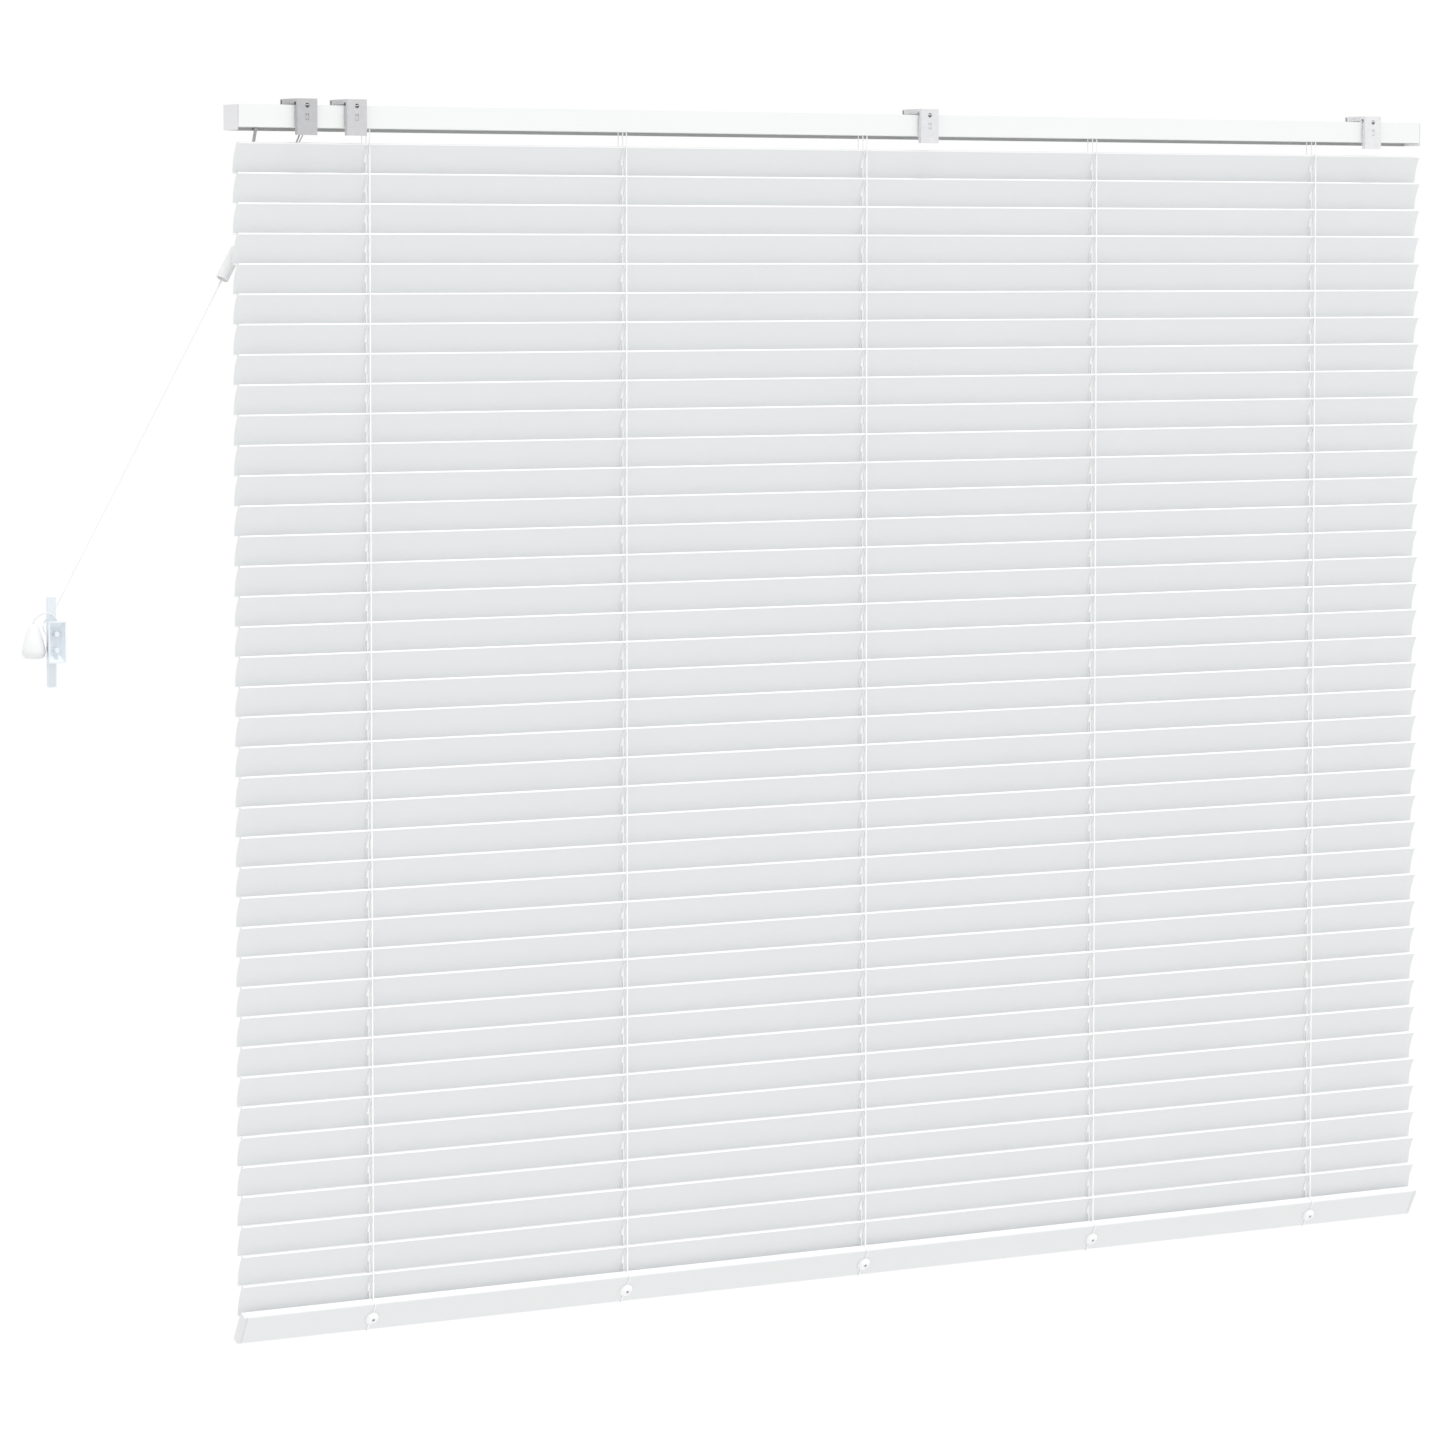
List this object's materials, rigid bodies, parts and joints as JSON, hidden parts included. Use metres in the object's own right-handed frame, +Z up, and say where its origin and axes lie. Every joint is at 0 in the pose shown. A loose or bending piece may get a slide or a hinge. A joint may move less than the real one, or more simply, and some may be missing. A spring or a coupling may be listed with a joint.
{
  "type": "venetian blinds",
  "caption": "Lowered and closed horizontal-slat window blind with headrail, wall brackets, ladder cords, tilt wand, pull cord with tassel, and a wall cleat.",
  "frame": {"origin": "on the wall face of bracket_3, the bracket nearest the middle, 30.5 mm below the top of its arm", "axes": "+Z up, -Y into the room, +Y to the wall, +X along the headrail towards the controls"},
  "size_m": [1.8236, 0.0626, 1.3046],
  "materials": {
    "white_enamel": "satin white enamel",
    "white_plastic": "satin white moulded plastic",
    "zinc_steel": "bright zinc plate",
    "clear_plastic": "translucent acrylic",
    "white_cord": "braided polyester"
  },
  "bodies": {
    "frame": {"headrail": "white_enamel", "end_cap_left": "white_plastic", "end_cap_right": "white_plastic", "bracket_1": "zinc_steel", "bracket_2": "zinc_steel", "bracket_3": "zinc_steel", "bracket_4": "zinc_steel", "tilter_housing": "white_plastic", "cord_lock": "white_plastic", "condenser": "white_plastic", "pull_cord": "white_cord", "tassel": "white_plastic", "cleat": "white_plastic"},
    "tilt_rod": {"tilt_rod": "zinc_steel"},
    "tilter_shaft": {"tilter_shaft": "white_plastic"},
    "wand": {"wand": "clear_plastic"},
    "bottom_rail": {"bottom_rail": "white_enamel", "rail_cap_left": "white_plastic", "rail_cap_right": "white_plastic"},
    "strand_wall": {"ladder_strand_wall": "white_cord"},
    "strand_room": {"ladder_strand_room": "white_cord"},
    "slat_01": {"slat_01": "white_enamel"},
    "slat_02": {"slat_02": "white_enamel"},
    "slat_03": {"slat_03": "white_enamel"},
    "slat_04": {"slat_04": "white_enamel"},
    "slat_05": {"slat_05": "white_enamel"},
    "slat_06": {"slat_06": "white_enamel"},
    "slat_07": {"slat_07": "white_enamel"},
    "slat_08": {"slat_08": "white_enamel"},
    "slat_09": {"slat_09": "white_enamel"},
    "slat_10": {"slat_10": "white_enamel"},
    "slat_11": {"slat_11": "white_enamel"},
    "slat_12": {"slat_12": "white_enamel"},
    "slat_13": {"slat_13": "white_enamel"},
    "slat_14": {"slat_14": "white_enamel"},
    "slat_15": {"slat_15": "white_enamel"},
    "slat_16": {"slat_16": "white_enamel"},
    "slat_17": {"slat_17": "white_enamel"},
    "slat_18": {"slat_18": "white_enamel"},
    "slat_19": {"slat_19": "white_enamel"},
    "slat_20": {"slat_20": "white_enamel"},
    "slat_21": {"slat_21": "white_enamel"},
    "slat_22": {"slat_22": "white_enamel"},
    "slat_23": {"slat_23": "white_enamel"},
    "slat_24": {"slat_24": "white_enamel"},
    "slat_25": {"slat_25": "white_enamel"},
    "slat_26": {"slat_26": "white_enamel"},
    "slat_27": {"slat_27": "white_enamel"},
    "slat_28": {"slat_28": "white_enamel"},
    "slat_29": {"slat_29": "white_enamel"},
    "slat_30": {"slat_30": "white_enamel"},
    "slat_31": {"slat_31": "white_enamel"},
    "slat_32": {"slat_32": "white_enamel"},
    "slat_33": {"slat_33": "white_enamel"},
    "slat_34": {"slat_34": "white_enamel"},
    "slat_35": {"slat_35": "white_enamel"},
    "slat_36": {"slat_36": "white_enamel"},
    "slat_37": {"slat_37": "white_enamel"},
    "slat_38": {"slat_38": "white_enamel"},
    "slat_39": {"slat_39": "white_enamel"}
  },
  "joints": [
    {"name": "tilt", "type": "hinge", "parent": "frame", "child": "bottom_rail", "pos_m": [0.0745, -0.0215, -1.257], "axis": [-1, 0, 0], "range_deg": [0, 140]},
    {"name": "tilt_slat_01", "type": "hinge", "parent": "frame", "child": "slat_01", "pos_m": [0.0745, -0.0215, -0.0313], "axis": [-1, 0, 0], "range_deg": [0, 140]},
    {"name": "tilt_slat_02", "type": "hinge", "parent": "frame", "child": "slat_02", "pos_m": [0.0745, -0.0215, -0.0628], "axis": [-1, 0, 0], "range_deg": [0, 140]},
    {"name": "tilt_slat_03", "type": "hinge", "parent": "frame", "child": "slat_03", "pos_m": [0.0745, -0.0215, -0.0943], "axis": [-1, 0, 0], "range_deg": [0, 140]},
    {"name": "tilt_slat_04", "type": "hinge", "parent": "frame", "child": "slat_04", "pos_m": [0.0745, -0.0215, -0.1258], "axis": [-1, 0, 0], "range_deg": [0, 140]},
    {"name": "tilt_slat_05", "type": "hinge", "parent": "frame", "child": "slat_05", "pos_m": [0.0745, -0.0215, -0.1573], "axis": [-1, 0, 0], "range_deg": [0, 140]},
    {"name": "tilt_slat_06", "type": "hinge", "parent": "frame", "child": "slat_06", "pos_m": [0.0745, -0.0215, -0.1888], "axis": [-1, 0, 0], "range_deg": [0, 140]},
    {"name": "tilt_slat_07", "type": "hinge", "parent": "frame", "child": "slat_07", "pos_m": [0.0745, -0.0215, -0.2203], "axis": [-1, 0, 0], "range_deg": [0, 140]},
    {"name": "tilt_slat_08", "type": "hinge", "parent": "frame", "child": "slat_08", "pos_m": [0.0745, -0.0215, -0.2518], "axis": [-1, 0, 0], "range_deg": [0, 140]},
    {"name": "tilt_slat_09", "type": "hinge", "parent": "frame", "child": "slat_09", "pos_m": [0.0745, -0.0215, -0.2833], "axis": [-1, 0, 0], "range_deg": [0, 140]},
    {"name": "tilt_slat_10", "type": "hinge", "parent": "frame", "child": "slat_10", "pos_m": [0.0745, -0.0215, -0.3148], "axis": [-1, 0, 0], "range_deg": [0, 140]},
    {"name": "tilt_slat_11", "type": "hinge", "parent": "frame", "child": "slat_11", "pos_m": [0.0745, -0.0215, -0.3463], "axis": [-1, 0, 0], "range_deg": [0, 140]},
    {"name": "tilt_slat_12", "type": "hinge", "parent": "frame", "child": "slat_12", "pos_m": [0.0745, -0.0215, -0.3778], "axis": [-1, 0, 0], "range_deg": [0, 140]},
    {"name": "tilt_slat_13", "type": "hinge", "parent": "frame", "child": "slat_13", "pos_m": [0.0745, -0.0215, -0.4093], "axis": [-1, 0, 0], "range_deg": [0, 140]},
    {"name": "tilt_slat_14", "type": "hinge", "parent": "frame", "child": "slat_14", "pos_m": [0.0745, -0.0215, -0.4408], "axis": [-1, 0, 0], "range_deg": [0, 140]},
    {"name": "tilt_slat_15", "type": "hinge", "parent": "frame", "child": "slat_15", "pos_m": [0.0745, -0.0215, -0.4723], "axis": [-1, 0, 0], "range_deg": [0, 140]},
    {"name": "tilt_slat_16", "type": "hinge", "parent": "frame", "child": "slat_16", "pos_m": [0.0745, -0.0215, -0.5038], "axis": [-1, 0, 0], "range_deg": [0, 140]},
    {"name": "tilt_slat_17", "type": "hinge", "parent": "frame", "child": "slat_17", "pos_m": [0.0745, -0.0215, -0.5353], "axis": [-1, 0, 0], "range_deg": [0, 140]},
    {"name": "tilt_slat_18", "type": "hinge", "parent": "frame", "child": "slat_18", "pos_m": [0.0745, -0.0215, -0.5668], "axis": [-1, 0, 0], "range_deg": [0, 140]},
    {"name": "tilt_slat_19", "type": "hinge", "parent": "frame", "child": "slat_19", "pos_m": [0.0745, -0.0215, -0.5983], "axis": [-1, 0, 0], "range_deg": [0, 140]},
    {"name": "tilt_slat_20", "type": "hinge", "parent": "frame", "child": "slat_20", "pos_m": [0.0745, -0.0215, -0.6298], "axis": [-1, 0, 0], "range_deg": [0, 140]},
    {"name": "tilt_slat_21", "type": "hinge", "parent": "frame", "child": "slat_21", "pos_m": [0.0745, -0.0215, -0.6613], "axis": [-1, 0, 0], "range_deg": [0, 140]},
    {"name": "tilt_slat_22", "type": "hinge", "parent": "frame", "child": "slat_22", "pos_m": [0.0745, -0.0215, -0.6928], "axis": [-1, 0, 0], "range_deg": [0, 140]},
    {"name": "tilt_slat_23", "type": "hinge", "parent": "frame", "child": "slat_23", "pos_m": [0.0745, -0.0215, -0.7243], "axis": [-1, 0, 0], "range_deg": [0, 140]},
    {"name": "tilt_slat_24", "type": "hinge", "parent": "frame", "child": "slat_24", "pos_m": [0.0745, -0.0215, -0.7558], "axis": [-1, 0, 0], "range_deg": [0, 140]},
    {"name": "tilt_slat_25", "type": "hinge", "parent": "frame", "child": "slat_25", "pos_m": [0.0745, -0.0215, -0.7873], "axis": [-1, 0, 0], "range_deg": [0, 140]},
    {"name": "tilt_slat_26", "type": "hinge", "parent": "frame", "child": "slat_26", "pos_m": [0.0745, -0.0215, -0.8188], "axis": [-1, 0, 0], "range_deg": [0, 140]},
    {"name": "tilt_slat_27", "type": "hinge", "parent": "frame", "child": "slat_27", "pos_m": [0.0745, -0.0215, -0.8503], "axis": [-1, 0, 0], "range_deg": [0, 140]},
    {"name": "tilt_slat_28", "type": "hinge", "parent": "frame", "child": "slat_28", "pos_m": [0.0745, -0.0215, -0.8818], "axis": [-1, 0, 0], "range_deg": [0, 140]},
    {"name": "tilt_slat_29", "type": "hinge", "parent": "frame", "child": "slat_29", "pos_m": [0.0745, -0.0215, -0.9133], "axis": [-1, 0, 0], "range_deg": [0, 140]},
    {"name": "tilt_slat_30", "type": "hinge", "parent": "frame", "child": "slat_30", "pos_m": [0.0745, -0.0215, -0.9448], "axis": [-1, 0, 0], "range_deg": [0, 140]},
    {"name": "tilt_slat_31", "type": "hinge", "parent": "frame", "child": "slat_31", "pos_m": [0.0745, -0.0215, -0.9763], "axis": [-1, 0, 0], "range_deg": [0, 140]},
    {"name": "tilt_slat_32", "type": "hinge", "parent": "frame", "child": "slat_32", "pos_m": [0.0745, -0.0215, -1.0078], "axis": [-1, 0, 0], "range_deg": [0, 140]},
    {"name": "tilt_slat_33", "type": "hinge", "parent": "frame", "child": "slat_33", "pos_m": [0.0745, -0.0215, -1.0393], "axis": [-1, 0, 0], "range_deg": [0, 140]},
    {"name": "tilt_slat_34", "type": "hinge", "parent": "frame", "child": "slat_34", "pos_m": [0.0745, -0.0215, -1.0708], "axis": [-1, 0, 0], "range_deg": [0, 140]},
    {"name": "tilt_slat_35", "type": "hinge", "parent": "frame", "child": "slat_35", "pos_m": [0.0745, -0.0215, -1.1023], "axis": [-1, 0, 0], "range_deg": [0, 140]},
    {"name": "tilt_slat_36", "type": "hinge", "parent": "frame", "child": "slat_36", "pos_m": [0.0745, -0.0215, -1.1338], "axis": [-1, 0, 0], "range_deg": [0, 140]},
    {"name": "tilt_slat_37", "type": "hinge", "parent": "frame", "child": "slat_37", "pos_m": [0.0745, -0.0215, -1.1653], "axis": [-1, 0, 0], "range_deg": [0, 140]},
    {"name": "tilt_slat_38", "type": "hinge", "parent": "frame", "child": "slat_38", "pos_m": [0.0745, -0.0215, -1.1968], "axis": [-1, 0, 0], "range_deg": [0, 140]},
    {"name": "tilt_slat_39", "type": "hinge", "parent": "frame", "child": "slat_39", "pos_m": [0.0745, -0.0215, -1.2283], "axis": [-1, 0, 0], "range_deg": [0, 140]},
    {"name": "rod_turn", "type": "hinge", "parent": "frame", "child": "tilt_rod", "pos_m": [0.0745, -0.0215, 0.0132], "axis": [-1, 0, 0], "range_deg": [0, 140]},
    {"name": "strand_wall_swing", "type": "hinge", "parent": "tilt_rod", "child": "strand_wall", "pos_m": [0.0755, -0.01665, 0.02908], "axis": [-1, 0, 0], "range_deg": [-140, 0]},
    {"name": "strand_room_swing", "type": "hinge", "parent": "tilt_rod", "child": "strand_room", "pos_m": [0.0755, -0.02635, -0.00267], "axis": [-1, 0, 0], "range_deg": [-140, 0]},
    {"name": "shaft_turn", "type": "hinge", "parent": "frame", "child": "tilter_shaft", "pos_m": [0.8307, -0.0315, 0.0018], "axis": [0, 0.342, 0.9397], "range_deg": [0, 1400]},
    {"name": "wand_turn", "type": "hinge", "parent": "frame", "child": "wand", "pos_m": [0.8307, -0.05693, -0.0665], "axis": [0, 0, 1], "range_deg": [0, 1400]}
  ],
  "couplings": [
    {"joint": "tilt_slat_01", "follows": "tilt", "ratio": 1},
    {"joint": "tilt_slat_02", "follows": "tilt", "ratio": 1},
    {"joint": "tilt_slat_03", "follows": "tilt", "ratio": 1},
    {"joint": "tilt_slat_04", "follows": "tilt", "ratio": 1},
    {"joint": "tilt_slat_05", "follows": "tilt", "ratio": 1},
    {"joint": "tilt_slat_06", "follows": "tilt", "ratio": 1},
    {"joint": "tilt_slat_07", "follows": "tilt", "ratio": 1},
    {"joint": "tilt_slat_08", "follows": "tilt", "ratio": 1},
    {"joint": "tilt_slat_09", "follows": "tilt", "ratio": 1},
    {"joint": "tilt_slat_10", "follows": "tilt", "ratio": 1},
    {"joint": "tilt_slat_11", "follows": "tilt", "ratio": 1},
    {"joint": "tilt_slat_12", "follows": "tilt", "ratio": 1},
    {"joint": "tilt_slat_13", "follows": "tilt", "ratio": 1},
    {"joint": "tilt_slat_14", "follows": "tilt", "ratio": 1},
    {"joint": "tilt_slat_15", "follows": "tilt", "ratio": 1},
    {"joint": "tilt_slat_16", "follows": "tilt", "ratio": 1},
    {"joint": "tilt_slat_17", "follows": "tilt", "ratio": 1},
    {"joint": "tilt_slat_18", "follows": "tilt", "ratio": 1},
    {"joint": "tilt_slat_19", "follows": "tilt", "ratio": 1},
    {"joint": "tilt_slat_20", "follows": "tilt", "ratio": 1},
    {"joint": "tilt_slat_21", "follows": "tilt", "ratio": 1},
    {"joint": "tilt_slat_22", "follows": "tilt", "ratio": 1},
    {"joint": "tilt_slat_23", "follows": "tilt", "ratio": 1},
    {"joint": "tilt_slat_24", "follows": "tilt", "ratio": 1},
    {"joint": "tilt_slat_25", "follows": "tilt", "ratio": 1},
    {"joint": "tilt_slat_26", "follows": "tilt", "ratio": 1},
    {"joint": "tilt_slat_27", "follows": "tilt", "ratio": 1},
    {"joint": "tilt_slat_28", "follows": "tilt", "ratio": 1},
    {"joint": "tilt_slat_29", "follows": "tilt", "ratio": 1},
    {"joint": "tilt_slat_30", "follows": "tilt", "ratio": 1},
    {"joint": "tilt_slat_31", "follows": "tilt", "ratio": 1},
    {"joint": "tilt_slat_32", "follows": "tilt", "ratio": 1},
    {"joint": "tilt_slat_33", "follows": "tilt", "ratio": 1},
    {"joint": "tilt_slat_34", "follows": "tilt", "ratio": 1},
    {"joint": "tilt_slat_35", "follows": "tilt", "ratio": 1},
    {"joint": "tilt_slat_36", "follows": "tilt", "ratio": 1},
    {"joint": "tilt_slat_37", "follows": "tilt", "ratio": 1},
    {"joint": "tilt_slat_38", "follows": "tilt", "ratio": 1},
    {"joint": "tilt_slat_39", "follows": "tilt", "ratio": 1},
    {"joint": "rod_turn", "follows": "tilt", "ratio": 1},
    {"joint": "strand_wall_swing", "follows": "tilt", "ratio": -1},
    {"joint": "strand_room_swing", "follows": "tilt", "ratio": -1},
    {"joint": "shaft_turn", "follows": "tilt", "ratio": 10},
    {"joint": "wand_turn", "follows": "tilt", "ratio": 10}
  ]
}
